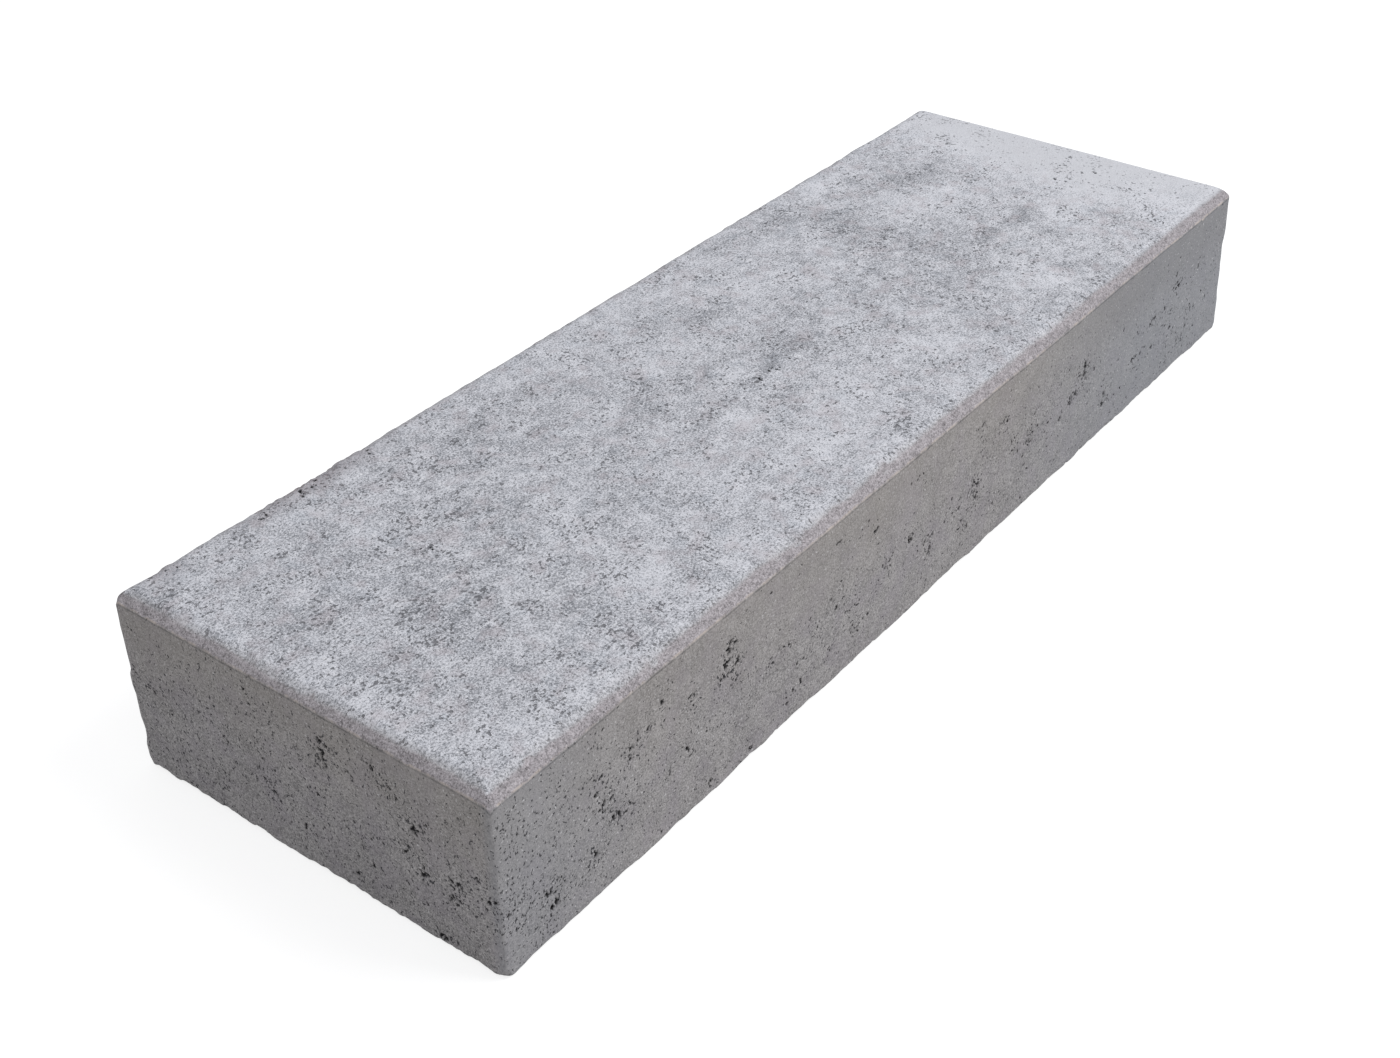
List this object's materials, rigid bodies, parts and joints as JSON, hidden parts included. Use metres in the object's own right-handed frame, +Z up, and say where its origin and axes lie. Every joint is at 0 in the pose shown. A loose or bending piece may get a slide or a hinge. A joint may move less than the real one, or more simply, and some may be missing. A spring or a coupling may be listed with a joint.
{
  "type": "concrete block step",
  "caption": "Solid cast concrete block step with a level tread, bevelled upper edges and square sides, laid as a stair or garden step.",
  "frame": {"origin": "on the bed face, under the middle of the block", "axes": "+X along the step from its left end to its right end, +Y from the front face to the back face, +Z up, out of the tread"},
  "size_m": [1, 0.33, 0.15],
  "materials": {
    "concrete": "matte"
  },
  "bodies": {
    "root": {"block_step": "concrete"}
  },
  "joints": []
}
